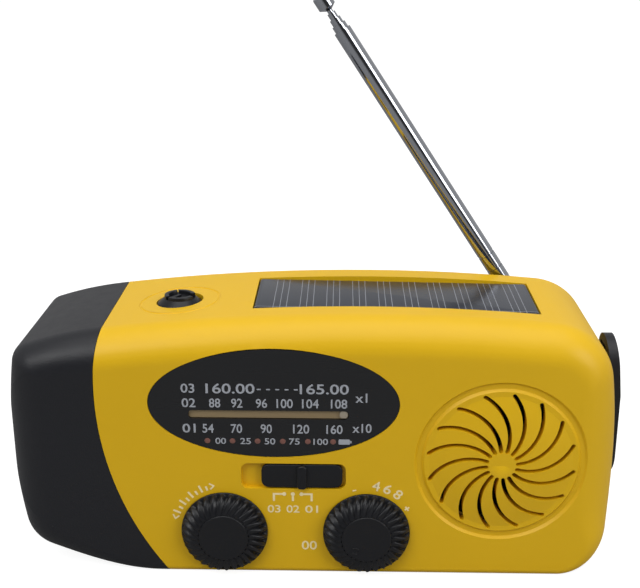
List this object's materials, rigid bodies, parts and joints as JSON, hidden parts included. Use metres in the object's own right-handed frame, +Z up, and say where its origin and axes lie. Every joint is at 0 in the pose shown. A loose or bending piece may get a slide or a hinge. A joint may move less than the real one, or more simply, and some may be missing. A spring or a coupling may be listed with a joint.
{
  "type": "portable radio",
  "caption": "Portable emergency radio with a dial, two knobs, speaker grille, solar panel, torch head, folding telescopic antenna and a hand crank.",
  "frame": {"origin": "middle of the case's flat base, half way through its depth", "axes": "+X to the right seen from the front, +Y to the back, +Z up"},
  "size_m": [0.1295, 0.0463, 0.1182],
  "materials": {
    "yellow_case": "satin moulded plastic",
    "black_case": "fine satin moulded plastic",
    "knob_black": "satin moulded plastic",
    "dial_black": "smooth satin sheet with printed scales",
    "dial_strip": "printed strip",
    "pointer": "moulded",
    "indicator": "tinted",
    "inner_plastic": "moulded",
    "steel": "plated",
    "chrome": "polished",
    "magnet": "sintered",
    "speaker_paper": "pressed paper",
    "solar_cell": "cells under clear resin",
    "clear_lens": "clear moulded",
    "mirror_chrome": "bright metallised",
    "led_clear": "clear resin",
    "board_green": "lacquered board",
    "gear_plastic": "natural moulded",
    "copper": "enamelled wire",
    "battery_wrap": "shrink film",
    "cover_rubber": "soft moulded"
  },
  "bodies": {
    "case": {"antenna_coil": "copper", "band_switch": "steel", "battery": "battery_wrap", "battery_tray": "inner_plastic", "case_screws": "steel", "dial_scale": "dial_strip", "dial_window": "dial_black", "ferrite_rod": "magnet", "front_shell": "yellow_case", "gear_plate": "steel", "generator": "steel", "indicator_leds": "indicator", "main_board": "board_green", "pointer_rail": "steel", "rear_shell": "yellow_case", "rod_clips": "inner_plastic", "socket_board": "board_green", "solar_panel": "solar_cell", "speaker_cone": "speaker_paper", "speaker_frame": "steel", "speaker_magnet": "magnet", "torch_board": "board_green", "torch_head": "black_case", "torch_leds": "led_clear", "torch_lens": "clear_lens", "torch_reflector": "mirror_chrome", "torch_switch": "inner_plastic", "tuning_capacitor": "inner_plastic", "usb_in_socket": "steel", "usb_out_socket": "steel", "volume_control": "steel"},
    "tuning": {"tuning_knob": "knob_black", "tuning_shaft": "inner_plastic"},
    "pointer": {"dial_pointer": "pointer"},
    "volume": {"volume_knob": "knob_black", "volume_shaft": "inner_plastic"},
    "band": {"band_slider": "knob_black"},
    "button": {"torch_button": "knob_black"},
    "crank": {"crank_arm": "black_case", "crank_shaft": "steel", "crank_gear": "gear_plastic", "handle_pin": "steel"},
    "handle": {"crank_handle": "black_case"},
    "idler": {"idler_gear": "gear_plastic"},
    "rotor": {"generator_rotor": "steel"},
    "antenna_swivel": {"antenna_base": "chrome", "antenna_pin": "steel"},
    "mast_1": {"antenna_tube_1": "chrome"},
    "mast_2": {"antenna_tube_2": "chrome"},
    "mast_3": {"antenna_tube_3": "chrome"},
    "mast_4": {"antenna_tube_4": "chrome"},
    "mast_5": {"antenna_tube_5": "chrome", "antenna_tip": "chrome"},
    "door": {"battery_door": "yellow_case"},
    "cover": {"port_cover": "cover_rubber"}
  },
  "joints": [
    {"name": "tuning_turn", "type": "hinge", "parent": "case", "child": "tuning", "pos_m": [-0.0184, -0.0215, 0.0102], "axis": [0, -1, 0], "range_deg": [0, 330]},
    {"name": "pointer_slide", "type": "slide", "parent": "case", "child": "pointer", "axis": [1, 0, 0], "range_m": [-0.0304, 0]},
    {"name": "volume_turn", "type": "hinge", "parent": "case", "child": "volume", "pos_m": [0.0114, -0.0215, 0.0102], "axis": [0, -1, 0], "range_deg": [-300, 0]},
    {"name": "band_slide", "type": "slide", "parent": "case", "child": "band", "axis": [1, 0, 0], "range_m": [-0.0036, 0]},
    {"name": "button_press", "type": "slide", "parent": "case", "child": "button", "axis": [0, 0, -1], "range_m": [0, 0.0008], "stiffness_N_per_m": 400},
    {"name": "crank_turn", "type": "hinge", "parent": "case", "child": "crank", "pos_m": [0.0634, 0, 0.021], "axis": [1, 0, 0], "continuous": true},
    {"name": "handle_fold", "type": "hinge", "parent": "crank", "child": "handle", "pos_m": [0.06475, 0, 0.0424], "axis": [0, 1, 0], "range_deg": [-90, 0]},
    {"name": "idler_turn", "type": "hinge", "parent": "case", "child": "idler", "pos_m": [0.056, 0.00148, 0.03794], "axis": [1, 0, 0], "continuous": true},
    {"name": "rotor_turn", "type": "hinge", "parent": "case", "child": "rotor", "pos_m": [0.05, 0.00951, 0.02647], "axis": [1, 0, 0], "continuous": true},
    {"name": "antenna_swivel", "type": "hinge", "parent": "case", "child": "antenna_swivel", "pos_m": [0.0472, 0.0185, 0.047], "axis": [0, 1, 0], "range_deg": [-56.4, 123.6]},
    {"name": "antenna_tilt", "type": "hinge", "parent": "antenna_swivel", "child": "mast_1", "pos_m": [0.0472, 0.0185, 0.047], "axis": [0.8329, 0, 0.5534], "range_deg": [-90, 0]},
    {"name": "mast_slide_2", "type": "slide", "parent": "mast_1", "child": "mast_2", "axis": [-0.5534, 0, 0.8329], "range_m": [0, 0.052]},
    {"name": "mast_slide_3", "type": "slide", "parent": "mast_2", "child": "mast_3", "axis": [-0.5534, 0, 0.8329], "range_m": [0, 0.052]},
    {"name": "mast_slide_4", "type": "slide", "parent": "mast_3", "child": "mast_4", "axis": [-0.5534, 0, 0.8329], "range_m": [0, 0.052]},
    {"name": "mast_slide_5", "type": "slide", "parent": "mast_4", "child": "mast_5", "axis": [-0.5534, 0, 0.8329], "range_m": [0, 0.052]},
    {"name": "door_off", "type": "slide", "parent": "case", "child": "door", "axis": [0, 1, 0], "range_m": [0, 0.02]},
    {"name": "cover_open", "type": "hinge", "parent": "case", "child": "cover", "pos_m": [0.0388, 0.02085, 0.0083], "axis": [1, 0, 0], "range_deg": [-90, 0]}
  ],
  "couplings": [
    {"joint": "pointer_slide", "follows": "tuning_turn", "m_per_rad": -0.005278},
    {"joint": "idler_turn", "follows": "crank_turn", "ratio": -3.25},
    {"joint": "rotor_turn", "follows": "crank_turn", "ratio": 8.125}
  ]
}
